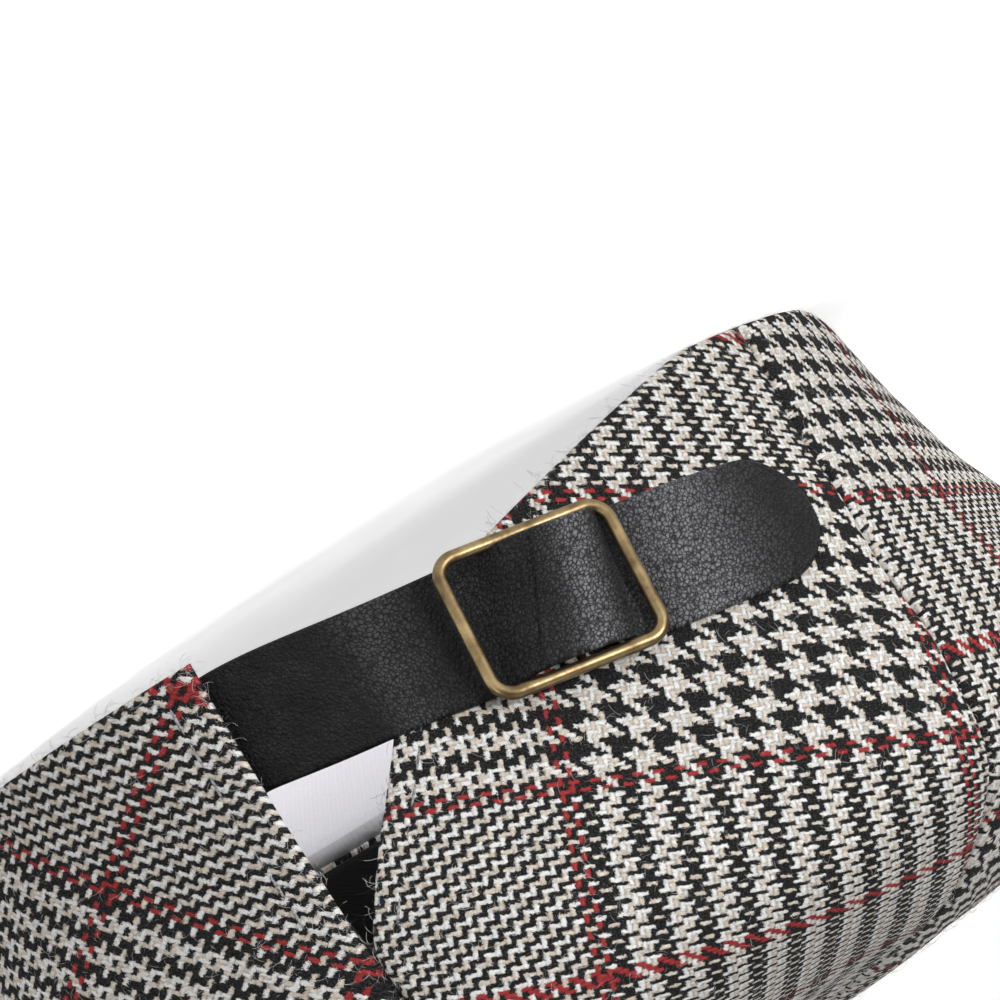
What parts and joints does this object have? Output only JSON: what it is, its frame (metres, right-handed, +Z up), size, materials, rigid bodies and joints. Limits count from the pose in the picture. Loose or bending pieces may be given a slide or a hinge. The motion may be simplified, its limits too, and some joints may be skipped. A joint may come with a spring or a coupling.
{
  "type": "flat cap",
  "caption": "Flat cap of checked wool gores with a short peak, and a notch at the back closed by a leather strap and a brass slider buckle.",
  "frame": {"origin": "middle of the cap's box, on the surface that it rests on", "axes": "+Z up through the crown, -Y towards the peak, +Y towards the notch, +X to the wearer's left"},
  "size_m": [0.2038, 0.273, 0.1018],
  "materials": {
    "wool": "black, off-white and beige glen-check twill with a red overcheck",
    "lining": "plain black cloth",
    "leather": "black pebbled grain",
    "brass": "antique satin brass"
  },
  "bodies": {
    "root": {"panel_back_right": "wool", "panel_rear_side_right": "wool", "panel_front_side_right": "wool", "panel_front_right": "wool", "panel_back_left": "wool", "panel_rear_side_left": "wool", "panel_front_side_left": "wool", "panel_front_left": "wool", "peak": "wool", "crown_button": "wool", "lining": "lining", "strap": "leather", "buckle_tab": "leather", "buckle": "brass"}
  },
  "joints": []
}
